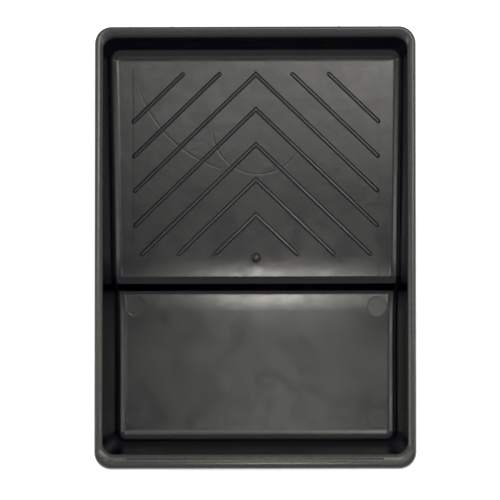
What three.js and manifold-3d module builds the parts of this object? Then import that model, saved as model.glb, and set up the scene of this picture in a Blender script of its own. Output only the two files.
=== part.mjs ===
// A paint roller tray: one injection moulding with a rolled rim, a flat well, a step and a ribbed ramp.
// Millimetres. +X is the tray's right, +Y its ramp end, +Z up, and the origin is under its middle at table
// height.
import * as THREE from "three";
import { mergeVertices } from "three/addons/utils/BufferGeometryUtils.js";
import Module from "manifold-3d";

const wasm = await Module();
wasm.setup();

// Driving dimensions
const WIDTH = 280;
const LENGTH = 387.5;
const HEIGHT = 62;
const WALL = 1.8;
const FLOOR = WALL; // the well floor's top surface

// Rim: widths from the outer edge to the mouth, and the skirt that hangs from it
const RIM_SIDE = 5.3;
const RIM_BACK = 4.6;
const RIM_FRONT = 10.4;
const RIM_RADIUS = 15; // outer corners in plan
const MOUTH_RADIUS = 10.5; // mouth corners in plan
// Where a wall rolls over into the rim: how far inside the mouth's edge its line starts, and how deep the
// roll is
const SIDE_ROLL = { run: 2.1, depth: 3 };
const FRONT_ROLL = { run: 1.8, depth: 2.6 };
const BACK_ROLL = { run: 4.4, depth: 6.5 };
const SKIRT_DEPTH = 10;
const SKIRT_WALL = 1.6;
const SKIRT_FLARE = 0.4;

// Walls, which lean outwards, and the fillets at their feet
const SIDE_LEAN = 0.2; // run over rise
const FRONT_LEAN = 0.308;
const BACK_LEAN = 0.328;
const CORNER_TAPER = 0.05; // how fast the plan corners tighten with depth
// A fillet is an arc of this radius, stretched along the floor
const SIDE_FILLET = { radius: 8, stretch: 1.1 };
const FRONT_FILLET = { radius: 5.5, stretch: 1.8 };
const BACK_FILLET = { radius: 7, stretch: 1.6 };

// Side profile of the upper surface, from the well floor up the step to the ramp. Each stretch covers `run`
// along Y and ends at `slope` degrees: an arc where that differs from the stretch before, else a straight.
const RAMP_SLOPE = 4.5;
const RAMP_START_Y = -4.1;
const STEP_PROFILE = [
  { run: 40, slope: 4.2 }, // the floor sweeps up gently
  { run: 14, slope: 8 },
  { run: 3, slope: 30 }, // the step's foot
  { run: 1.2, slope: 56 },
  { run: 4.4, slope: 56 }, // the riser
  { run: 1, slope: 26 },
  { run: 4.9, slope: 26 }, // the shoulder
  { run: 0.8, slope: 8.5 },
  { run: 17.6, slope: RAMP_SLOPE }, // the ramp's lower end rolls over gently
];
const ARC_STEPS = 3;

// Chevron ribs
const RIB_ANGLE = 43.8; // degrees in plan, from the X axis
const RIB_PITCH = 30.6; // along Y
const RIB_TOP_Y = 154.2;
const RIB_BOTTOM_Y = -2.5;
const RIB_SIDE_X = 107.6; // at the top line
const RIB_SIDE_TAPER = 0.018; // how fast the ribs' field narrows down the ramp
const RIB_WIDTH = 3.8;
const RIB_HEIGHT = 0.95; // of its round crown above the ramp
const FULL_CHEVRONS = 5;
const CUT_CHEVRONS = 2; // pairs above the top line, with no apex

// Moulding marks
const GATE_Y = -5.6;
const GATE_RADIUS = 4;
const GATE_HEIGHT = 1.8;
const PIN_RADIUS = 8.7;
const PIN_DEPTH = 0.25;
const PIN_X = 105.3;
const PIN_ROWS_Y = [-46.9, -144.6];

// Groove along the front rim
const GROOVE_LENGTH = 222;
const GROOVE_WIDTH = 1.7;
const GROOVE_DEPTH = 0.8;
const GROOVE_INSET = 8.6; // from the tray's front edge to the groove's middle

// Legs under the ramp end, each a channel with its web at the back
const LEG_X = 91;
const LEG_WIDTH = 38;
const LEG_DEPTH = 28; // along Y, at the table
const LEG_TAPER = 8; // how much deeper the leg is at the ramp
const LEG_WALL = 2;
const LEG_WEB_INSET = 2.4; // from the leg's back edges to the web
const LEG_PROUD = 0.7; // how far the leg's back edges stand behind the skirt

const CORNER_STEPS = 8;
const FILLET_STEPS = 5;
const SINK = 1; // how deep joined pieces reach into each other

const lerp = THREE.MathUtils.lerp;
const radians = THREE.MathUtils.degToRad;
const rampAngle = radians(RAMP_SLOPE);
const rampRise = Math.tan(rampAngle);
const skirtBackY = LENGTH / 2 - LEG_PROUD;

// The step profile's points from the floor to the ramp, each with the slope there.
function profilePoints() {
  const length = STEP_PROFILE.reduce((sum, { run }) => sum + run, 0);
  const points = [{ y: RAMP_START_Y - length, z: FLOOR, slope: 0 }];
  for (const { run, slope } of STEP_PROFILE) {
    const start = points.at(-1);
    const end = radians(slope);
    if (Math.abs(end - start.slope) < 1e-9) {
      points.push({ y: start.y + run, z: start.z + run * Math.tan(end), slope: end });
      continue;
    }
    const radius = run / (Math.sin(end) - Math.sin(start.slope));
    for (let i = 1; i <= ARC_STEPS; i++) {
      const turned = lerp(start.slope, end, i / ARC_STEPS);
      points.push({
        y: start.y + radius * (Math.sin(turned) - Math.sin(start.slope)),
        z: start.z + radius * (Math.cos(start.slope) - Math.cos(turned)),
        slope: turned,
      });
    }
  }
  return points;
}
const profile = profilePoints();

// Height of the upper surface at y, or of the surface that lies `drop` below it.
function profileZ(y, drop = 0) {
  const lowered = profile.map((point) => ({
    y: point.y + drop * Math.sin(point.slope),
    z: point.z - drop * Math.cos(point.slope),
  }));
  const ramp = lowered.at(-1);
  if (y >= ramp.y) {
    return ramp.z + (y - ramp.y) * rampRise;
  }
  const next = lowered.findIndex((point) => point.y > y);
  if (next === 0) {
    return FLOOR - drop;
  }
  const [low, high] = [lowered[next - 1], lowered[next]];
  return lerp(low.z, high.z, (y - low.y) / (high.y - low.y));
}

// Stations along the right half of a ring, front to back: a corner, the side's stations, a corner.
function stationsAlongRing() {
  const stations = [];
  for (let i = 0; i <= CORNER_STEPS; i++) {
    stations.push({ end: "front", turn: (i / CORNER_STEPS - 1) * (Math.PI / 2) });
  }
  for (const { y } of profile) {
    stations.push({ y });
  }
  for (let i = 0; i <= CORNER_STEPS; i++) {
    stations.push({ end: "back", turn: (i / CORNER_STEPS) * (Math.PI / 2) });
  }
  return stations;
}
const stations = stationsAlongRing();

// A level says where a ring lies: its insets from the outer rectangle, its corner radius and its height.
// On a corner, `share` runs from 0 at the side to 1 at the end, and `y` is where the point is.
function pointOnRing(level, { end, turn, y }) {
  if (end === undefined) {
    const at = level(y, 0, "back");
    return [WIDTH / 2 - at.side, y, at.z];
  }
  // The ring's height follows the floor under the point, so the point is found by repeating.
  let point = [0, end === "front" ? -LENGTH / 2 : LENGTH / 2, 0];
  for (let pass = 0; pass < 12; pass++) {
    const at = level(point[1], Math.sin(turn) ** 2, end);
    const cornerX = WIDTH / 2 - at.side - at.radius;
    const cornerY = end === "front" ? -LENGTH / 2 + at.end + at.radius : skirtBackY - at.end - at.radius;
    point = [cornerX + at.radius * Math.cos(turn), cornerY + at.radius * Math.sin(turn), at.z];
  }
  return point;
}

function ring(level) {
  const right = stations.map((station) => pointOnRing(level, station));
  const left = right.map(([x, y, z]) => [-x, y, z]).reverse();
  return [...right, ...left];
}

const rimWidth = (end) => (end === "front" ? RIM_FRONT : RIM_BACK);
const endLean = (end) => (end === "front" ? FRONT_LEAN : BACK_LEAN);
const endRoll = (end) => (end === "front" ? FRONT_ROLL : BACK_ROLL);
const endFillet = (end) => (end === "front" ? FRONT_FILLET : BACK_FILLET);

// A ring on the wall at height z, `skin` outside the inner surface.
function wallLevel(z, skin) {
  return (y, share, end) => {
    const depth = HEIGHT - z;
    return {
      side: RIM_SIDE + SIDE_ROLL.run + SIDE_LEAN * depth - skin * Math.hypot(1, SIDE_LEAN),
      end: rimWidth(end) + endRoll(end).run + endLean(end) * depth - skin * Math.hypot(1, endLean(end)),
      radius: MOUTH_RADIUS - CORNER_TAPER * depth + skin,
      z,
    };
  };
}

// A ring where the wall rolls over into the rim, at `part` of the roll's depth.
function rollLevel(part, skin = 0) {
  return (y, share, end) => {
    const depth = lerp(SIDE_ROLL.depth, endRoll(end).depth, share) * part + skin / 2;
    return wallLevel(HEIGHT - depth, skin)(y, share, end);
  };
}

// A ring on the fillet at the wall's foot. `part` runs from 0 on the floor to 1 on the wall.
function filletLevel(part, skin) {
  return (y, share, end) => {
    const radius = lerp(SIDE_FILLET.radius, endFillet(end).radius, share) + skin;
    const stretch = lerp(SIDE_FILLET.stretch, endFillet(end).stretch, share);
    const floor = profileZ(y, skin);
    const foot = wallLevel(floor, skin)(y, share, end);
    const inward = (lean) => {
      const turn = Math.PI / 2 - Math.atan(lean / stretch);
      return stretch * radius * (Math.tan(turn / 2) - Math.sin(part * turn));
    };
    const lean = lerp(SIDE_LEAN, endLean(end), share);
    const turn = Math.PI / 2 - Math.atan(lean / stretch);
    return {
      side: foot.side + inward(SIDE_LEAN),
      end: foot.end + inward(endLean(end)),
      radius: Math.max(foot.radius - inward(lean), 1),
      z: floor + radius * (1 - Math.cos(part * turn)),
    };
  };
}

// A ring on the rim at `across` of its width, 0 at the outer edge and 1 at the mouth, or past it.
function rimLevel(across, z, inward = 0) {
  return (y, share, end) => ({
    side: across * RIM_SIDE + inward,
    end: across * rimWidth(end) + inward,
    radius: lerp(RIM_RADIUS, MOUTH_RADIUS, across) - inward,
    z,
  });
}

// Levels along the cubic curve with these four control levels, both ends included.
function curveLevels(controls, steps) {
  const levels = [];
  for (let i = 0; i <= steps; i++) {
    const t = i / steps;
    const weights = [(1 - t) ** 3, 3 * t * (1 - t) ** 2, 3 * t ** 2 * (1 - t), t ** 3];
    levels.push((...where) => {
      const mixed = { side: 0, end: 0, radius: 0, z: 0 };
      for (const [k, control] of controls.entries()) {
        const at = control(...where);
        for (const key of Object.keys(mixed)) {
          mixed[key] += weights[k] * at[key];
        }
      }
      return mixed;
    });
  }
  return levels;
}

// The curve from the wall up to the rim's crest, `skin` below the upper surface.
function rollLevels(skin, steps) {
  const z = HEIGHT - skin;
  return curveLevels([rollLevel(1, skin), rollLevel(0.4, skin), rimLevel(0.92, z), rimLevel(0.5, z)], steps);
}

// Every ring of the shell, from the middle of the upper surface over the rim to the middle of the underside.
function shellLevels() {
  const levels = [];
  for (let i = 0; i <= FILLET_STEPS; i++) {
    levels.push(filletLevel(i / FILLET_STEPS, 0));
  }
  levels.push(...rollLevels(0, 5));
  levels.push(rimLevel(0.28, HEIGHT - 0.35));
  levels.push(rimLevel(0.12, HEIGHT - 1.2));
  levels.push(rimLevel(0, HEIGHT - 3, SKIRT_FLARE));
  levels.push(rimLevel(0, HEIGHT - SKIRT_DEPTH));
  levels.push(rimLevel(0, HEIGHT - SKIRT_DEPTH, SKIRT_WALL));
  levels.push(rimLevel(0, HEIGHT - 3, SKIRT_WALL + SKIRT_FLARE));
  levels.push(rimLevel(0.05, HEIGHT - 2, SKIRT_WALL + SKIRT_FLARE));
  const underZ = HEIGHT - WALL;
  const underRoll = [rimLevel(0.8, underZ), rimLevel(1, underZ), rollLevel(0.4, WALL), rollLevel(1, WALL)];
  levels.push(...curveLevels(underRoll, 3));
  for (let i = FILLET_STEPS; i >= 0; i--) {
    levels.push(filletLevel(i / FILLET_STEPS, WALL));
  }
  return levels;
}

// The pan with its rim, as one closed surface: rings joined by bands, and strips across both middles.
function panGeometry() {
  const rings = shellLevels().map(ring);
  const count = rings[0].length;
  const half = count / 2;
  const index = [];
  const quad = (a, b, c, d) => index.push(a, b, c, a, c, d);
  for (let j = 0; j + 1 < rings.length; j++) {
    for (let i = 0; i < count; i++) {
      const next = (i + 1) % count;
      quad(j * count + i, (j + 1) * count + i, (j + 1) * count + next, j * count + next);
    }
  }
  const under = (rings.length - 1) * count;
  for (let i = 0; i + 1 < half; i++) {
    const left = count - 1 - i;
    quad(left, i, i + 1, left - 1);
    quad(under + i, under + left, under + left - 1, under + i + 1);
  }
  return new THREE.BufferGeometry()
    .setAttribute("position", new THREE.Float32BufferAttribute(rings.flat(2), 3))
    .setIndex(index);
}

// A geometry as a manifold-3d solid.
function solid(geometry, matrix = new THREE.Matrix4()) {
  const placed = geometry.clone().applyMatrix4(matrix);
  placed.deleteAttribute("normal");
  placed.deleteAttribute("uv");
  const merged = mergeVertices(placed, 1e-3);
  return new wasm.Manifold(
    new wasm.Mesh({
      numProp: 3,
      vertProperties: new Float32Array(merged.attributes.position.array),
      triVerts: new Uint32Array(merged.index.array),
    }),
  );
}

// A plate or bar with rounded ends, lying in XY from `from` to `to`, `height` thick upwards.
function roundedBar(from, to, width, height, edges = { bevelEnabled: false }) {
  const along = Math.atan2(to.y - from.y, to.x - from.x);
  const shape = new THREE.Shape();
  shape.absarc(to.x, to.y, width / 2, along - Math.PI / 2, along + Math.PI / 2);
  shape.absarc(from.x, from.y, width / 2, along + Math.PI / 2, along + (3 * Math.PI) / 2);
  return new THREE.ExtrudeGeometry(shape, { depth: height, curveSegments: 5, ...edges });
}

// The ramp's plane: local Y runs up the ramp, local Z is its normal, and the origin is below the frame's
// origin.
const rampPlane = new THREE.Matrix4()
  .makeTranslation(0, 0, profile.at(-1).z - RAMP_START_Y * rampRise)
  .multiply(new THREE.Matrix4().makeRotationX(rampAngle));
const upRamp = (y) => y / Math.cos(rampAngle);

// The right-hand arms of the chevrons, each from its upper to its lower end, in plan.
function ribArms() {
  const fall = Math.tan(radians(RIB_ANGLE));
  const arms = [];
  for (let i = -CUT_CHEVRONS; i < FULL_CHEVRONS; i++) {
    const apexY = RIB_TOP_Y - i * RIB_PITCH;
    const startX = Math.max(0, (apexY - RIB_TOP_Y) / fall);
    const sideX = RIB_SIDE_X + RIB_SIDE_TAPER * (apexY - RIB_TOP_Y);
    const endX = Math.min(sideX / (1 + RIB_SIDE_TAPER * fall), (apexY - RIB_BOTTOM_Y) / fall);
    arms.push({
      from: new THREE.Vector2(startX, apexY - startX * fall),
      to: new THREE.Vector2(endX, apexY - endX * fall),
    });
  }
  return arms;
}

// A rib is a bar with a round crown; the same roundness under it lies inside the ramp.
function ribSolids() {
  const straight = 0.1; // height of its side above the ramp, and twice that below
  const onRamp = rampPlane.clone().multiply(new THREE.Matrix4().makeTranslation(0, 0, -2 * straight));
  const size = 0.35 * RIB_WIDTH;
  const crown = {
    bevelThickness: RIB_HEIGHT - straight,
    bevelSize: size,
    bevelOffset: -size,
    bevelSegments: 3,
  };
  const solids = [];
  for (const { from, to } of ribArms()) {
    for (const side of [-1, 1]) {
      const start = new THREE.Vector2(side * from.x, upRamp(from.y));
      const end = new THREE.Vector2(side * to.x, upRamp(to.y));
      solids.push(solid(roundedBar(start, end, RIB_WIDTH, 3 * straight, crown), onRamp));
    }
  }
  return solids;
}

// The low dome where the plastic entered the mould.
function gateSolid() {
  const outline = [new THREE.Vector2(0, -SINK), new THREE.Vector2(GATE_RADIUS, -SINK)];
  const steps = 5;
  for (let i = 0; i <= steps; i++) {
    const turn = (i / steps) * (Math.PI / 2);
    const radius = i === steps ? 0 : GATE_RADIUS * Math.cos(turn);
    outline.push(new THREE.Vector2(radius, GATE_HEIGHT * Math.sin(turn)));
  }
  const dome = new THREE.LatheGeometry(outline, 20).rotateX(Math.PI / 2);
  const place = rampPlane.clone().multiply(new THREE.Matrix4().makeTranslation(0, upRamp(GATE_Y), 0));
  return solid(dome, place);
}

// Shallow round marks that the ejector pins leave in the well floor, tilted to lie along it.
function pinSolids() {
  const solids = [];
  const height = 2;
  for (const y of PIN_ROWS_Y) {
    const slope = Math.atan((profileZ(y + PIN_RADIUS) - profileZ(y - PIN_RADIUS)) / (2 * PIN_RADIUS));
    for (const x of [-PIN_X, PIN_X]) {
      const disc = new THREE.CylinderGeometry(PIN_RADIUS, PIN_RADIUS, height, 24).rotateX(Math.PI / 2);
      disc.translate(0, 0, height / 2 - PIN_DEPTH).rotateX(slope);
      solids.push(solid(disc.translate(x, y, profileZ(y))));
    }
  }
  return solids;
}

function grooveSolid() {
  const y = -LENGTH / 2 + GROOVE_INSET;
  const reach = GROOVE_LENGTH / 2;
  const bar = roundedBar(new THREE.Vector2(-reach, y), new THREE.Vector2(reach, y), GROOVE_WIDTH, 2);
  return solid(bar.translate(0, 0, HEIGHT - GROOVE_DEPTH));
}

// The space under the ramp end that the legs may fill, as a prism along X. Its upper side follows the
// middle of
// the shell's thickness, so that the legs join it, and its front leans back towards the table.
function legSpace() {
  const backY = LENGTH / 2;
  const frontY = backY - LEG_DEPTH;
  const outline = new THREE.Shape();
  outline.moveTo(frontY, 0);
  outline.lineTo(backY, 0);
  outline.lineTo(backY, HEIGHT - SKIRT_DEPTH + 2);
  outline.lineTo(skirtBackY - SINK, HEIGHT - SKIRT_DEPTH + 4);
  outline.lineTo(skirtBackY - SINK, HEIGHT - SINK);
  const levels = rollLevels(SINK, 5).reverse();
  for (let i = FILLET_STEPS; i >= 0; i--) {
    levels.push(filletLevel(i / FILLET_STEPS, SINK));
  }
  for (const level of levels) {
    const [, y, z] = pointOnRing(level, { end: "back", turn: Math.PI / 2 });
    outline.lineTo(y, z);
  }
  outline.lineTo(frontY - LEG_TAPER, profileZ(frontY - LEG_TAPER, SINK));
  const depth = WIDTH;
  const prism = new THREE.ExtrudeGeometry(outline, { depth, bevelEnabled: false });
  // The outline's X runs along the tray's Y, its Y runs up, and it is extruded along the tray's X.
  const turn = new THREE.Matrix4().makeBasis(
    new THREE.Vector3(0, 1, 0),
    new THREE.Vector3(0, 0, 1),
    new THREE.Vector3(1, 0, 0),
  );
  return solid(prism, new THREE.Matrix4().makeTranslation(-depth / 2, 0, 0).multiply(turn));
}

// A leg's section in plan: two side plates with rounded back edges, joined by the web.
function legGeometry(middle) {
  const backY = LENGTH / 2;
  const frontY = backY - LEG_DEPTH - LEG_TAPER - 1;
  const webY = backY - LEG_WEB_INSET;
  const outer = LEG_WIDTH / 2;
  const inner = outer - LEG_WALL;
  const round = LEG_WALL / 2;
  const outline = new THREE.Shape();
  outline.moveTo(middle - outer, frontY);
  outline.lineTo(middle - inner, frontY);
  outline.lineTo(middle - inner, webY - LEG_WALL);
  outline.lineTo(middle + inner, webY - LEG_WALL);
  outline.lineTo(middle + inner, frontY);
  outline.lineTo(middle + outer, frontY);
  outline.absarc(middle + outer - round, backY - round, round, 0, Math.PI);
  outline.lineTo(middle + inner, webY);
  outline.lineTo(middle - inner, webY);
  outline.absarc(middle - outer + round, backY - round, round, 0, Math.PI);
  outline.closePath();
  return new THREE.ExtrudeGeometry(outline, { depth: HEIGHT, bevelEnabled: false, curveSegments: 4 });
}

function legSolids() {
  const space = legSpace();
  return [-LEG_X, LEG_X].map((middle) => solid(legGeometry(middle)).intersect(space));
}

function trayGeometry() {
  let tray = solid(panGeometry());
  for (const piece of [...legSolids(), ...ribSolids(), gateSolid()]) {
    tray = tray.add(piece);
  }
  for (const cut of [...pinSolids(), grooveSolid()]) {
    tray = tray.subtract(cut);
  }
  const { vertProperties, triVerts } = tray.getMesh();
  const geometry = new THREE.BufferGeometry()
    .setAttribute("position", new THREE.BufferAttribute(vertProperties, 3))
    .setIndex(new THREE.BufferAttribute(triVerts, 1));
  geometry.computeVertexNormals();
  return geometry;
}

const blackPlastic = new THREE.MeshStandardMaterial({ color: 0x1b1b1c, roughness: 0.45, metalness: 0 });
const tray = new THREE.Mesh(trayGeometry(), blackPlastic);
tray.name = "tray";

const rollerTray = new THREE.Group();
rollerTray.add(tray);
export default rollerTray;
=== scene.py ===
"""Looks of the paint roller tray: one black plastic moulding on a white floor, seen from above."""

import math

import bpy
import numpy as np
from mathutils import Matrix, Vector


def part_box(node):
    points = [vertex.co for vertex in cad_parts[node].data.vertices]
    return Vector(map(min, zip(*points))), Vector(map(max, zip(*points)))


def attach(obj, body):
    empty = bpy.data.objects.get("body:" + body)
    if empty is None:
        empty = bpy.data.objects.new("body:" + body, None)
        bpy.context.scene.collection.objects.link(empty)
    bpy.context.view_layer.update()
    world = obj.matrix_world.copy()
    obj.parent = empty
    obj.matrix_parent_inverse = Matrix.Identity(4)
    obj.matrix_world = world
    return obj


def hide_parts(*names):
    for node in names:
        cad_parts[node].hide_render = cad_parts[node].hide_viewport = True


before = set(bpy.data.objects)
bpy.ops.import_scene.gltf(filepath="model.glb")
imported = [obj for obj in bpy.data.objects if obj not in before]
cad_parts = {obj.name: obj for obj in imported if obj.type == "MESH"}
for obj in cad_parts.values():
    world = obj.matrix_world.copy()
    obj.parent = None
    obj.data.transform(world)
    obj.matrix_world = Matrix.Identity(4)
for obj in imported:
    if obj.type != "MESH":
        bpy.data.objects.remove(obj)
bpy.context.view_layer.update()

MM = 0.001
LOW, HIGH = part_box("tray")
WIDTH = HIGH.x - LOW.x
LENGTH = HIGH.y - LOW.y
HEIGHT = HIGH.z - LOW.z

# Shell
WALL = 1.8 * MM
FLOOR = WALL
SIDE_LEAN = 0.2  # run over rise
END_LEANS = {"front": 0.308, "back": 0.328}
CORNER_TAPER = 0.05  # how fast the plan corners tighten with depth
# A fillet is an arc of this radius, stretched along the floor
SIDE_FILLET = (8 * MM, 1.1)
END_FILLETS = {"front": (5.5 * MM, 1.8), "back": (7 * MM, 1.6)}

# Rim and skirt
RIM_SIDE = 5.3 * MM
RIM_ENDS = {"front": 10.4 * MM, "back": 4.6 * MM}
RIM_RADIUS = 15 * MM
MOUTH_RADIUS = 10.5 * MM
# Where a wall rolls over into the rim: how far inside the mouth's edge its line starts, and how deep
# the roll is
SIDE_ROLL = (2.1 * MM, 3 * MM)
END_ROLLS = {"front": (1.8 * MM, 2.6 * MM), "back": (4.4 * MM, 6.5 * MM)}
# How far below the rim's crest its outer curve is pulled, and the curve inside the skirt
OUTER_DROPS = (1 * MM, 3.2 * MM)
INNER_DROPS = (1.9 * MM, 4.2 * MM)
SKIRT_DEPTH = 10 * MM
SKIRT_WALL = 1.6 * MM
SKIRT_FLARE = 0.4 * MM

# Side profile from the well floor to the ramp: (run along Y, slope in degrees at its end)
RAMP_SLOPE = 4.5
RAMP_START_Y = -4.1 * MM
STEP_PROFILE = [
    (40 * MM, 4.2),  # the floor sweeps up gently
    (14 * MM, 8),
    (3 * MM, 30),  # the step's foot
    (1.2 * MM, 56),
    (4.4 * MM, 56),  # the riser
    (1 * MM, 26),
    (4.9 * MM, 26),  # the shoulder
    (0.8 * MM, 8.5),
    (17.6 * MM, RAMP_SLOPE),  # the ramp's lower end rolls over gently
]

# Chevron ribs
RIB_ANGLE = math.radians(43.8)  # in plan, from the X axis
RIB_PITCH = 30.6 * MM
RIB_TOP_Y = 154.2 * MM
RIB_BOTTOM_Y = -2.5 * MM
RIB_SIDE_X = 107.6 * MM  # at the top line
RIB_SIDE_TAPER = 0.018  # how fast the ribs' field narrows down the ramp
RIB_HALF_WIDTH = 1.9 * MM
RIB_HEIGHT = 0.95 * MM  # of its round crown above the ramp
RIB_STEPS = 6
RIB_FLAT = 0.4  # of a step, left flat on the crown
FULL_CHEVRONS = 5
CUT_CHEVRONS = 2  # pairs above the top line, with no apex

# Moulding marks
GATE_Y = -5.6 * MM
GATE_RADIUS = 4 * MM
GATE_HEIGHT = 1.8 * MM
PIN_RADIUS = 8.7 * MM
PIN_DEPTH = 0.25 * MM
PIN_CHAMFER = 0.9 * MM
PIN_X = 105.3 * MM
PIN_ROWS_Y = [-46.9 * MM, -144.6 * MM]

# Marks too fine to model, which the material makes
INSERT_EDGE_X = (106.6 * MM, 107.8 * MM)  # the edge of the ramp's mould insert
INSERT_Y = (-30 * MM, 158 * MM)
FLOW_FRONTS = [  # (centre in plan, radius, reach along X, depth)
    ((2 * MM, 107 * MM), 40 * MM, (-34 * MM, 33 * MM), 0.06 * MM),
    ((2 * MM, 177 * MM), 110 * MM, (-96 * MM, -36 * MM), 0.055 * MM),
]
FLOW_LINE_SOFT = 1.1 * MM  # how far a flow line fades to each side
FLOW_END_SOFT = 8 * MM  # how far it fades out at its ends
FLOW_TOP_SOFT = 5 * MM  # how far it fades in below its centre
CRINKLE_X = (112 * MM, 126 * MM)  # where the crinkles of the front rim's corners start and are full
CRINKLE_Y = (-176 * MM, -183 * MM)
GATE_BULGE_RADIUS = 9 * MM  # the slight bulge in front of the gate
GATE_BULGE_AHEAD = 7 * MM

# Groove along the front rim
GROOVE_LENGTH = 222 * MM
GROOVE_WIDTH = 1.7 * MM
GROOVE_DEPTH = 0.8 * MM
GROOVE_INSET = 8.6 * MM

# Legs under the ramp end
LEG_X = 91 * MM
LEG_WIDTH = 38 * MM
LEG_DEPTH = 28 * MM
LEG_TAPER = 8 * MM
LEG_WALL = 2 * MM
LEG_WEB_INSET = 2.4 * MM
LEG_PROUD = 0.7 * MM
LEG_BEVEL = 0.35 * MM
SINK = 1 * MM  # how deep joined pieces reach into each other

SHARP_ANGLE = math.radians(28)  # edges that turn more stay sharp
CORNER_STEPS = 20
ARC_STEPS = 8
FILLET_STEPS = 12
RIM_STEPS = 9
LIP_STEPS = 6
UNDER_STEPS = 6
GATE_STEPS = 9
ROUND_STEPS = 48
SKIRT_BACK_Y = LENGTH / 2 - LEG_PROUD


def lerp(a, b, part):
    return a + (b - a) * part


# ---- The side profile ----

def profile_points():
    """(y, z, slope) along the upper surface, from the floor to the start of the ramp."""
    y = RAMP_START_Y - sum(run for run, _ in STEP_PROFILE)
    points = [(y, FLOOR, 0.0)]
    for run, slope in STEP_PROFILE:
        y, z, start = points[-1]
        end = math.radians(slope)
        if abs(end - start) < 1e-9:
            points.append((y + run, z + run * math.tan(end), end))
            continue
        radius = run / (math.sin(end) - math.sin(start))
        for step in range(1, ARC_STEPS + 1):
            turned = lerp(start, end, step / ARC_STEPS)
            points.append((
                y + radius * (math.sin(turned) - math.sin(start)),
                z + radius * (math.cos(start) - math.cos(turned)),
                turned,
            ))
    return points


PROFILE = profile_points()
RAMP_ANGLE = math.radians(RAMP_SLOPE)
RAMP_RISE = math.tan(RAMP_ANGLE)


def profile_z(y, drop=0.0):
    """Height of the upper surface at y, or of the surface that lies `drop` below it."""
    ys = [point[0] + drop * math.sin(point[2]) for point in PROFILE]
    zs = [point[1] - drop * math.cos(point[2]) for point in PROFILE]
    if y >= ys[-1]:
        return zs[-1] + (y - ys[-1]) * RAMP_RISE
    return float(np.interp(y, ys, zs))


# ---- The shell, as rings joined by bands ----
# A level is a function of (y, share, end) that gives a ring's side inset, end inset, corner radius and
# height. `share` runs from 0 at the side to 1 at the end of a corner.

def wall_level(z, skin=0.0):
    """A ring on the wall at height z, `skin` outside the inner surface."""
    depth = HEIGHT - z

    def level(y, share, end):
        lean = END_LEANS[end]
        return np.array([
            RIM_SIDE + SIDE_ROLL[0] + SIDE_LEAN * depth - skin * math.hypot(1, SIDE_LEAN),
            RIM_ENDS[end] + END_ROLLS[end][0] + lean * depth - skin * math.hypot(1, lean),
            MOUTH_RADIUS - CORNER_TAPER * depth + skin,
            z,
        ])
    return level


def roll_level(part, skin=0.0):
    """A ring where the wall rolls over into the rim, at `part` of the roll's depth."""
    def level(y, share, end):
        depth = lerp(SIDE_ROLL[1], END_ROLLS[end][1], share) * part + skin / 2
        return wall_level(HEIGHT - depth, skin)(y, share, end)
    return level


def fillet_level(part, skin=0.0):
    """A ring on the fillet at the wall's foot. `part` runs from 0 on the floor to 1 on the wall."""
    def level(y, share, end):
        radius = lerp(SIDE_FILLET[0], END_FILLETS[end][0], share) + skin
        stretch = lerp(SIDE_FILLET[1], END_FILLETS[end][1], share)

        def inward(lean):
            turn = math.pi / 2 - math.atan(lean / stretch)
            return stretch * radius * (math.tan(turn / 2) - math.sin(part * turn))

        floor = profile_z(y, skin)
        side, end_inset, corner, _ = wall_level(floor, skin)(y, share, end)
        lean = lerp(SIDE_LEAN, END_LEANS[end], share)
        turn = math.pi / 2 - math.atan(lean / stretch)
        return np.array([
            side + inward(SIDE_LEAN),
            end_inset + inward(END_LEANS[end]),
            max(corner - inward(lean), 1 * MM),
            floor + radius * (1 - math.cos(part * turn)),
        ])
    return level


def rim_level(across, z, inward=0.0):
    """A ring on the rim at `across` of its width, 0 at the outer edge and 1 at the mouth, or past it."""
    def level(y, share, end):
        return np.array([
            across * RIM_SIDE + inward,
            across * RIM_ENDS[end] + inward,
            lerp(RIM_RADIUS, MOUTH_RADIUS, across) - inward,
            z,
        ])
    return level


def curve_levels(controls, steps):
    """Levels along the cubic curve with these four control levels, both ends included."""
    def at(part):
        weights = [(1 - part) ** 3, 3 * part * (1 - part) ** 2, 3 * part ** 2 * (1 - part), part ** 3]
        return lambda *where: sum(w * control(*where) for w, control in zip(weights, controls))
    return [at(step / steps) for step in range(steps + 1)]


def roll_levels(skin, steps):
    """The curve from the wall up to the rim's crest, `skin` below the upper surface."""
    z = HEIGHT - skin
    controls = [roll_level(1, skin), roll_level(0.4, skin), rim_level(0.92, z), rim_level(0.5, z)]
    return curve_levels(controls, steps)


def shell_levels():
    """Every ring, from the middle of the upper surface over the rim to the middle of the underside."""
    levels = [fillet_level(step / FILLET_STEPS) for step in range(FILLET_STEPS + 1)]
    levels += roll_levels(0.0, RIM_STEPS)
    outer_curve = [rim_level(0.5, HEIGHT), rim_level(0.2, HEIGHT)]
    outer_curve += [rim_level(0, HEIGHT - drop, SKIRT_FLARE) for drop in OUTER_DROPS]
    levels += curve_levels(outer_curve, RIM_STEPS)[1:]
    edge = SKIRT_WALL / 2
    for step in range(LIP_STEPS + 1):
        turn = math.pi * step / LIP_STEPS
        lip_z = HEIGHT - SKIRT_DEPTH + edge * (1 - math.sin(turn))
        levels.append(rim_level(0, lip_z, edge * (1 - math.cos(turn))))
    under = HEIGHT - WALL
    inner_curve = [rim_level(0, HEIGHT - drop, SKIRT_WALL + SKIRT_FLARE) for drop in reversed(INNER_DROPS)]
    inner_curve += [rim_level(0.35, under, 0.6 * MM), rim_level(0.7, under)]
    levels += curve_levels(inner_curve, UNDER_STEPS)
    under_roll = [rim_level(0.8, under), rim_level(1, under), roll_level(0.4, WALL), roll_level(1, WALL)]
    levels += curve_levels(under_roll, UNDER_STEPS)
    levels += [fillet_level(1 - step / FILLET_STEPS, WALL) for step in range(FILLET_STEPS + 1)]
    return levels


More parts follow.
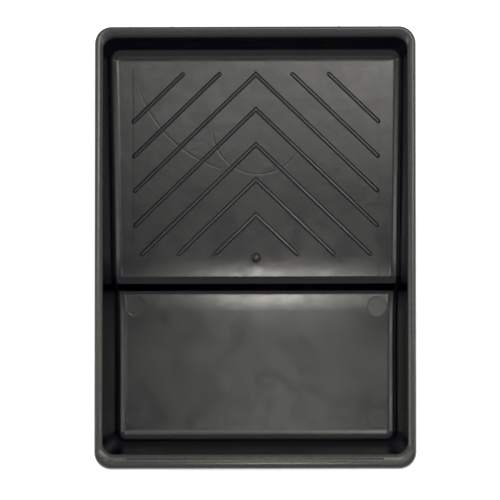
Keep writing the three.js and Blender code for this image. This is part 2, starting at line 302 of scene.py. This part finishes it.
def ring_stations():
    """(end, turn, y) along the right half of a ring: the front corner, the side, the back corner."""
    quarter = [step / CORNER_STEPS * math.pi / 2 for step in range(CORNER_STEPS + 1)]
    stations = [("front", turn - math.pi / 2, None) for turn in quarter]
    stations += [(None, 0.0, point[0]) for point in PROFILE]
    stations += [("back", turn, None) for turn in quarter]
    return stations


def point_on_ring(level, end, turn, y):
    """A ring's point: at `turn` round a corner of that end, or at y on the straight side if end is None."""
    if end is None:
        side, _, _, z = level(y, 0.0, "back")
        return (WIDTH / 2 - side, y, z)
    # The ring's height follows the floor under the point, so the point is found by repeating.
    sign = -1 if end == "front" else 1
    edge = LENGTH / 2 if end == "front" else SKIRT_BACK_Y
    point = (0.0, sign * edge, 0.0)
    for _ in range(10):
        side, inset, radius, z = level(point[1], math.sin(turn) ** 2, end)
        point = (
            WIDTH / 2 - side - radius + radius * math.cos(turn),
            sign * (edge - inset - radius) + radius * math.sin(turn),
            z,
        )
    return point


def shell_mesh():
    """The pan with its rim: the rings joined by bands, and strips across both middles."""
    stations = ring_stations()
    half = len(stations)
    count = 2 * half
    points = []
    levels = shell_levels()
    for level in levels:
        right = [point_on_ring(level, *station) for station in stations]
        points += right
        points += [(-x, y, z) for x, y, z in reversed(right)]
    faces = []
    for ring in range(len(levels) - 1):
        for i in range(count):
            after = (i + 1) % count
            low, high = ring * count, (ring + 1) * count
            faces.append((low + i, high + i, high + after, low + after))
    under = (len(levels) - 1) * count
    for i in range(half - 1):
        left = count - 1 - i
        faces.append((left, i, i + 1, left - 1))
        faces.append((under + i, under + left, under + left - 1, under + i + 1))
    return mesh_object("moulded_tray", points, faces)


# ---- Mesh helpers ----

def mesh_object(name, points, faces):
    mesh = bpy.data.meshes.new(name)
    mesh.from_pydata([tuple(point) for point in points], [], faces)
    mesh.validate()
    made = bpy.data.objects.new(name, mesh)
    bpy.context.scene.collection.objects.link(made)
    return made


def loft(name, rings):
    """A closed solid through rings of equally many points, each ring anticlockwise seen from the last one."""
    count = len(rings[0])
    faces = [tuple(reversed(range(count)))]
    for ring in range(len(rings) - 1):
        for i in range(count):
            after = (i + 1) % count
            low, high = ring * count, (ring + 1) * count
            faces.append((low + i, low + after, high + after, high + i))
    last = (len(rings) - 1) * count
    faces.append(tuple(last + i for i in range(count)))
    return mesh_object(name, [point for ring in rings for point in ring], faces)


def combine(target, tool, operation):
    """Joins the tool to the target, cuts it away or keeps what they share, and removes the tool."""
    modifier = target.modifiers.new(operation, "BOOLEAN")
    modifier.operation = operation
    modifier.solver = "MANIFOLD"
    modifier.object = tool
    apply_modifiers(target)
    bpy.data.objects.remove(tool)


def apply_modifiers(target):
    graph = bpy.context.evaluated_depsgraph_get()
    mesh = bpy.data.meshes.new_from_object(target.evaluated_get(graph))
    target.modifiers.clear()
    target.data = mesh


def arc(centre, radius, start, end, steps):
    """Points (x, y) on an arc, both ends included."""
    return [
        (centre[0] + radius * math.cos(lerp(start, end, step / steps)),
         centre[1] + radius * math.sin(lerp(start, end, step / steps)))
        for step in range(steps + 1)
    ]


def on_ramp(x, y, height):
    """The point `height` above the ramp's plane, over (x, y) in plan."""
    foot = PROFILE[-1][1] + (y - RAMP_START_Y) * RAMP_RISE
    return (x, y - height * math.sin(RAMP_ANGLE), foot + height * math.cos(RAMP_ANGLE))


# ---- Ribs ----

def rib_paths():
    """Centre lines in plan: full chevrons have an apex in the middle, cut ones are two single arms."""
    fall = math.tan(RIB_ANGLE)
    paths = []
    for i in range(-CUT_CHEVRONS, FULL_CHEVRONS):
        apex_y = RIB_TOP_Y - i * RIB_PITCH
        side_x = RIB_SIDE_X + RIB_SIDE_TAPER * (apex_y - RIB_TOP_Y)
        reach = min(side_x / (1 + RIB_SIDE_TAPER * fall), (apex_y - RIB_BOTTOM_Y) / fall)
        end = (reach, apex_y - reach * fall)
        if i >= 0:
            paths.append([(-end[0], end[1]), (0.0, apex_y), end])
            continue
        start = ((apex_y - RIB_TOP_Y) / fall, RIB_TOP_Y)
        paths.append([start, end])
        paths.append([(-end[0], end[1]), (-start[0], start[1])])
    return paths


def rib_outline(path, half_width):
    """The outline round a rib, anticlockwise, with round ends and a pointed apex."""
    start, end = path[0], path[-1]
    first = math.atan2(path[1][1] - start[1], path[1][0] - start[0])
    last = math.atan2(end[1] - path[-2][1], end[0] - path[-2][0])
    steps = 8
    outline = arc(end, half_width, last - math.pi / 2, last + math.pi / 2, steps)
    if len(path) == 3:
        mitre = half_width / math.cos(RIB_ANGLE)
        outline.append((path[1][0], path[1][1] + mitre))
    outline += arc(start, half_width, first + math.pi / 2, first + 1.5 * math.pi, steps)
    if len(path) == 3:
        outline.append((path[1][0], path[1][1] - mitre))
    return outline


def rib_section():
    """(half width, height above the ramp) from the sunk foot up the round crown, a part of a circle."""
    radius = (RIB_HALF_WIDTH ** 2 + RIB_HEIGHT ** 2) / (2 * RIB_HEIGHT)
    edge = math.asin(RIB_HALF_WIDTH / radius)
    turns = [edge * (1 - step / (RIB_STEPS + RIB_FLAT)) for step in range(RIB_STEPS + 1)]
    crown = [(radius * math.sin(turn), RIB_HEIGHT - radius * (1 - math.cos(turn))) for turn in turns]
    return [(RIB_HALF_WIDTH, -SINK)] + crown


def add_ribs(tray):
    for path in rib_paths():
        rings = [
            [on_ramp(x, y, height) for x, y in rib_outline(path, half_width)]
            for half_width, height in rib_section()
        ]
        combine(tray, loft("rib", rings), "UNION")


# ---- Moulding marks ----

def add_gate(tray):
    """The low dome where the plastic entered the mould."""
    rings = [[on_ramp(x, y, -SINK) for x, y in arc((0, GATE_Y), GATE_RADIUS, 0, 2 * math.pi, 32)[:-1]]]
    for step in range(GATE_STEPS):
        turn = step / GATE_STEPS * math.pi / 2
        radius = GATE_RADIUS * math.cos(turn)
        height = GATE_HEIGHT * math.sin(turn)
        rings.append([on_ramp(x, y, height) for x, y in arc((0, GATE_Y), radius, 0, 2 * math.pi, 32)[:-1]])
    combine(tray, loft("gate", rings), "UNION")


def cut_pin_marks(tray):
    """Shallow round marks of the ejector pins in the well floor, tilted to lie along it."""
    section = [(PIN_RADIUS - PIN_CHAMFER, -PIN_DEPTH), (PIN_RADIUS, 0), (PIN_RADIUS, SINK)]
    for row_y in PIN_ROWS_Y:
        slope = (profile_z(row_y + PIN_RADIUS) - profile_z(row_y - PIN_RADIUS)) / (2 * PIN_RADIUS)
        for x_place in (-PIN_X, PIN_X):
            rings = []
            for radius, height in section:
                circle = arc((x_place, row_y), radius, 0, 2 * math.pi, ROUND_STEPS)[:-1]
                rings.append([(x, y, profile_z(row_y) + slope * (y - row_y) + height) for x, y in circle])
            combine(tray, loft("pin_mark", rings), "DIFFERENCE")


def cut_groove(tray):
    """The fine groove along the front rim, narrower towards its bottom."""
    reach = GROOVE_LENGTH / 2
    y = -LENGTH / 2 + GROOVE_INSET
    rings = []
    for width_part, height in ((0.35, -GROOVE_DEPTH), (0.8, -0.6 * GROOVE_DEPTH), (1, 0), (1, SINK)):
        half_width = width_part * GROOVE_WIDTH / 2
        outline = arc((reach, y), half_width, -math.pi / 2, math.pi / 2, 8)
        outline += arc((-reach, y), half_width, math.pi / 2, 1.5 * math.pi, 8)
        rings.append([(x, y_place, HEIGHT + height) for x, y_place in outline])
    combine(tray, loft("groove", rings), "DIFFERENCE")


# ---- Legs ----

def leg_section(middle):
    """A leg in plan, anticlockwise: two side plates with round back edges, joined by the web."""
    back = LENGTH / 2
    front = back - LEG_DEPTH - LEG_TAPER - SINK
    web = back - LEG_WEB_INSET
    outer = LEG_WIDTH / 2
    inner = outer - LEG_WALL
    edge = LEG_WALL / 2
    outline = [
        (middle - outer, front), (middle - inner, front), (middle - inner, web - LEG_WALL),
        (middle + inner, web - LEG_WALL), (middle + inner, front), (middle + outer, front),
    ]
    outline += arc((middle + outer - edge, back - edge), edge, 0, math.pi, 6)
    outline += [(middle + inner, web), (middle - inner, web)]
    outline += arc((middle - outer + edge, back - edge), edge, 0, math.pi, 6)
    return outline


def leg_space():
    """The space under the ramp end that the legs may fill, as a prism across the tray.

    Its upper side follows the middle of the shell's thickness, so that the legs join it.
    """
    back = LENGTH / 2
    front = back - LEG_DEPTH
    outline = [
        (front, 0), (back, 0), (back, HEIGHT - SKIRT_DEPTH + 2 * MM),
        (SKIRT_BACK_Y - SINK, HEIGHT - SKIRT_DEPTH + 4 * MM), (SKIRT_BACK_Y - SINK, HEIGHT - SINK),
    ]
    levels = roll_levels(SINK, RIM_STEPS)[::-1]
    levels += [fillet_level(1 - step / FILLET_STEPS, SINK) for step in range(FILLET_STEPS + 1)]
    outline += [point_on_ring(level, "back", math.pi / 2, None)[1:] for level in levels]
    outline.append((front - LEG_TAPER, profile_z(front - LEG_TAPER, SINK)))
    return loft("leg_space", [[(x, y, z) for y, z in outline] for x in (-WIDTH / 2, WIDTH / 2)])


def add_legs(tray):
    for middle in (-LEG_X, LEG_X):
        leg = loft("leg", [[(x, y, z) for x, y in leg_section(middle)] for z in (0, HEIGHT)])
        combine(leg, leg_space(), "INTERSECT")
        bevel = leg.modifiers.new("edges", "BEVEL")
        bevel.width = LEG_BEVEL
        bevel.segments = 2
        bevel.limit_method = "ANGLE"
        bevel.angle_limit = math.radians(50)
        apply_modifiers(leg)
        combine(tray, leg, "UNION")


def build_tray():
    tray = shell_mesh()
    add_legs(tray)
    add_ribs(tray)
    add_gate(tray)
    cut_pin_marks(tray)
    cut_groove(tray)
    tray.data.shade_smooth()
    tray.data.set_sharp_from_angle(angle=SHARP_ANGLE)
    weighted = tray.modifiers.new("normals", "WEIGHTED_NORMAL")
    weighted.keep_sharp = True
    weighted.weight = 100
    apply_modifiers(tray)
    return tray


# ---- Material ----

class Nodes:
    """A short way to add nodes to a tree and link them."""

    def __init__(self, tree):
        self.tree = tree

    def add(self, kind, inputs=None, **settings):
        node = self.tree.nodes.new(kind)
        for name, value in settings.items():
            setattr(node, name, value)
        for name, value in (inputs or {}).items():
            if isinstance(value, bpy.types.NodeSocket):
                self.tree.links.new(value, node.inputs[name])
            else:
                node.inputs[name].default_value = value
        return node

    def math(self, operation, *values):
        inputs = dict(enumerate(values))
        return self.add("ShaderNodeMath", inputs, operation=operation).outputs[0]

    def axes(self, vector):
        return self.add("ShaderNodeSeparateXYZ", {"Vector": vector}).outputs[:]

    def noise(self, where, scale, detail=2.0, distortion=0.0):
        inputs = {"Vector": where, "Scale": scale, "Detail": detail, "Distortion": distortion}
        return self.add("ShaderNodeTexNoise", inputs).outputs["Fac"]

    def mix(self, factor, first, second):
        inputs = {"Factor": factor, "A": first, "B": second}
        return self.add("ShaderNodeMix", inputs, data_type="RGBA").outputs["Result"]

    def ramp(self, value, low, high, to_low=0.0, to_high=1.0):
        inputs = {"Value": value, "From Min": low, "From Max": high, "To Min": to_low, "To Max": to_high}
        return self.add("ShaderNodeMapRange", inputs, interpolation_type="SMOOTHSTEP").outputs[0]


def strip(nodes, value, low, high, soft):
    """1 where the value lies between low and high, fading to 0 over `soft` on both sides."""
    return nodes.math(
        "MULTIPLY", nodes.ramp(value, low - soft, low), nodes.ramp(value, high, high + soft, 1.0, 0.0))


def distance_in_plan(nodes, plane, centre):
    offset = nodes.add("ShaderNodeVectorMath", {0: plane, 1: (centre[0], centre[1], 0)}, operation="SUBTRACT")
    length = nodes.add("ShaderNodeVectorMath", {0: offset.outputs[0]}, operation="LENGTH")
    return length.outputs["Value"]


def flow_front(nodes, plane, centre, radius, x_range):
    """A fine line left where the plastic's front stood still: part of a circle on the ramp."""
    x, y, _ = nodes.axes(plane)
    line = strip(nodes, distance_in_plan(nodes, plane, centre), radius, radius, FLOW_LINE_SOFT)
    lower_side = nodes.ramp(y, centre[1], centre[1] - FLOW_TOP_SOFT)
    inside = nodes.math("MULTIPLY", strip(nodes, x, x_range[0], x_range[1], FLOW_END_SOFT), lower_side)
    return nodes.math("MULTIPLY", line, inside)


def pin_disc_sheen(nodes, where, amount):
    """`amount` inside the ejector-pin marks and 0 elsewhere: a painted sheen, paler colour standing in for
    the different reflection of the marks' finish.
    """
    x, y, _ = nodes.axes(where)
    side = nodes.math("ABSOLUTE", x)
    plane = nodes.add("ShaderNodeCombineXYZ", {"X": side, "Y": y}).outputs[0]
    total = 0.0
    for row_y in PIN_ROWS_Y:
        distance = distance_in_plan(nodes, plane, (PIN_X, row_y))
        disc = nodes.ramp(distance, PIN_RADIUS - 0.6 * MM, PIN_RADIUS, amount, 0.0)
        total = nodes.math("ADD", total, disc)
    return total


def moulded_relief(nodes, where):
    """Height of everything too fine to model, from the plastic's grain to the flow lines."""
    x, y, _ = nodes.axes(where)
    plane = nodes.add("ShaderNodeCombineXYZ", {"X": x, "Y": y}).outputs[0]
    side = nodes.math("ABSOLUTE", x)
    insert = nodes.math(
        "MULTIPLY", nodes.ramp(side, *INSERT_EDGE_X, 1.0, 0.0), strip(nodes, y, *INSERT_Y, 1.2 * MM))
    from_gate = distance_in_plan(nodes, plane, (0, GATE_Y - GATE_BULGE_AHEAD))
    corner = nodes.math("MULTIPLY", nodes.ramp(side, *CRINKLE_X), nodes.ramp(y, *CRINKLE_Y))
    parts = [
        (nodes.noise(where, 2600.0, 2.0), 0.004 * MM),  # grain
        (nodes.noise(where, 260.0, 1.0), 0.010 * MM),  # orange peel
        (nodes.noise(where, 85.0, 1.0, 0.5), 0.07 * MM),  # mottle
        (nodes.noise(where, 22.0, 1.0), 0.22 * MM),  # waviness
        (insert, 0.035 * MM),
        (nodes.ramp(from_gate, GATE_BULGE_RADIUS, 0.0), 0.12 * MM),
    ]
    for centre, radius, x_range, depth in FLOW_FRONTS:
        parts.append((flow_front(nodes, plane, centre, radius, x_range), -depth))
    parts.append((nodes.math("MULTIPLY", corner, nodes.noise(where, 420.0, 2.0, 1.0)), 0.25 * MM))
    height = 0.0
    for shape, amount in parts:
        height = nodes.math("MULTIPLY_ADD", shape, amount, height)
    return height


def black_plastic():
    """Satin black polypropylene: fine moulded grain, cloudy gloss, a paler rim that is partly rubbed wear and
    partly painted highlight, and pin marks with a painted sheen.
    """
    material = bpy.data.materials.new("black_plastic")
    material.use_nodes = True
    nodes = Nodes(material.node_tree)
    shader = material.node_tree.nodes["Principled BSDF"]
    where = nodes.add("ShaderNodeTexCoord").outputs["Object"]

    clouds = nodes.noise(where, 34.0, 4.0, 1.2)
    scuffs = nodes.noise(where, 420.0, 4.0)
    plain = nodes.mix(nodes.ramp(clouds, 0.3, 0.7), (0.0042, 0.0043, 0.0060, 1), (0.0062, 0.0060, 0.0062, 1))
    # Paler colour on the rim's top band, varied by scuff noise: partly rubbed wear, partly a painted
    # highlight that lifts the rim to the brightness of its lit crest.
    on_rim = nodes.ramp(nodes.axes(where)[2], HEIGHT - 3.5 * MM, HEIGHT - 1 * MM)
    rim_wear_and_highlight = nodes.ramp(scuffs, 0.3, 0.7, 0.7, 1.0)
    # The pin marks' painted sheen is added to the rim's wear and painted highlight.
    wear_and_painted_light = nodes.math("MULTIPLY_ADD", on_rim, rim_wear_and_highlight, pin_disc_sheen(nodes, where, 0.3))
    # The paler colour for the rim's wear and painted highlight and the pin marks' painted sheen.
    colour = nodes.mix(wear_and_painted_light, plain, (0.042, 0.042, 0.039, 1))

    cloudy = nodes.ramp(clouds, 0.35, 0.65, 0.2, 0.25)
    roughness = nodes.math("ADD", cloudy, nodes.ramp(scuffs, 0.6, 0.75, 0.0, 0.015))
    relief = moulded_relief(nodes, where)
    bump = nodes.add("ShaderNodeBump", {"Height": relief, "Strength": 1.0, "Distance": 1.0})

    links = material.node_tree.links
    links.new(colour, shader.inputs["Base Color"])
    links.new(roughness, shader.inputs["Roughness"])
    links.new(bump.outputs["Normal"], shader.inputs["Normal"])
    shader.inputs["IOR"].default_value = 1.49
    return material


# ---- Stage, lights and camera ----

def make_floor():
    reach = 8.0
    corners = [(-reach, -reach, 0), (reach, -reach, 0), (reach, reach, 0), (-reach, reach, 0)]
    floor = mesh_object("floor", corners, [(0, 1, 2, 3)])
    material = bpy.data.materials.new("white_floor")
    material.use_nodes = True
    shader = material.node_tree.nodes["Principled BSDF"]
    shader.inputs["Base Color"].default_value = (0.85, 0.85, 0.85, 1)
    shader.inputs["Roughness"].default_value = 0.9
    shader.inputs["Emission Color"].default_value = (1, 1, 1, 1)
    shader.inputs["Emission Strength"].default_value = 0.75
    floor.data.materials.append(material)


def make_world():
    """White where the camera looks past the floor, and a dim room for the light that reaches the tray."""
    world = bpy.data.worlds.new("room")
    world.use_nodes = True
    bpy.context.scene.world = world
    nodes = Nodes(world.node_tree)
    background = world.node_tree.nodes["Background"]
    seen = nodes.add("ShaderNodeLightPath").outputs["Is Camera Ray"]
    strength = nodes.add("ShaderNodeMapRange", {"Value": seen, "To Min": 0.56, "To Max": 1.0}).outputs[0]
    background.inputs["Color"].default_value = (1, 1, 1, 1)
    world.node_tree.links.new(strength, background.inputs["Strength"])


LIGHT_COLOUR = (1.0, 0.99, 0.9)


def softbox(name, place, aim, size, power, spread=180):
    """An area light; a smaller spread is a grid in front of it, which keeps its light near its axis."""
    light = bpy.data.lights.new(name, "AREA")
    light.shape = "RECTANGLE"
    light.size, light.size_y = size
    light.energy = power
    light.spread = math.radians(spread)
    light.color = LIGHT_COLOUR
    box = bpy.data.objects.new(name, light)
    box.location = place
    box.rotation_euler = (Vector(aim) - Vector(place)).to_track_quat("-Z", "Y").to_euler()
    box.visible_camera = False
    bpy.context.scene.collection.objects.link(box)


def make_lights():
    """Soft boxes over the ramp and the well, in front of the tray, behind it and at its sides."""
    softbox("over_ramp_right", (0.1, 0.13, 1.1), (0.01, 0.04, 0), (0.16, 0.16), 0.41)
    softbox("over_ramp_left", (-0.07, 0.13, 1.1), (0.01, 0.08, 0), (0.18, 0.16), 0.34)
    softbox("over_well", (0.012, -0.185, 0.75), (0.015, -0.08, 0), (0.11, 0.09), 0.018, 24)
    softbox("front", (-0.02, -0.3, 1.0), (0, 0, 0), (0.4, 0.06), 0.15)
    softbox("back", (0.0, 0.36, 1.0), (0, 0, 0), (1.0, 0.1), 0.95)
    softbox("back_right", (0.2, 0.24, 1.0), (0.03, 0.06, 0), (0.16, 0.16), 1.1)
    softbox("left", (-1.05, 0.0, 1.0), (0, 0, 0), (0.12, 1.0), 2.0)
    softbox("right", (0.85, 0.0, 1.0), (0, 0, 0), (0.12, 1.0), 1.2)


def make_camera():
    """A long lens almost straight above, a little towards the well end and the right."""
    data = bpy.data.cameras.new("camera")
    data.lens = 666.5
    data.sensor_width = 36
    data.clip_end = 60
    camera = bpy.data.objects.new("camera", data)
    place = Vector((0.6 * WIDTH, -2.0762 * LENGTH, 130.03 * HEIGHT))
    aim = Vector((-0.0159 * WIDTH, -0.0083 * LENGTH, HEIGHT))
    back = (place - aim).normalized()
    right = Vector((0, 1, 0)).cross(back).normalized()
    turn = Matrix((right, back.cross(right), back)).transposed()
    camera.matrix_world = Matrix.Translation(place) @ turn.to_4x4()
    bpy.context.scene.collection.objects.link(camera)
    bpy.context.scene.camera = camera


make_camera()
make_world()
make_lights()
make_floor()
view = bpy.context.scene.view_settings
view.view_transform = "Standard"
view.use_curve_mapping = True
view.curve_mapping.black_level = (0.0038, 0.0038, 0.003)
view.curve_mapping.update()

tray = build_tray()
tray.data.materials.clear()
tray.data.materials.append(black_plastic())
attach(tray, "root")
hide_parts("tray")
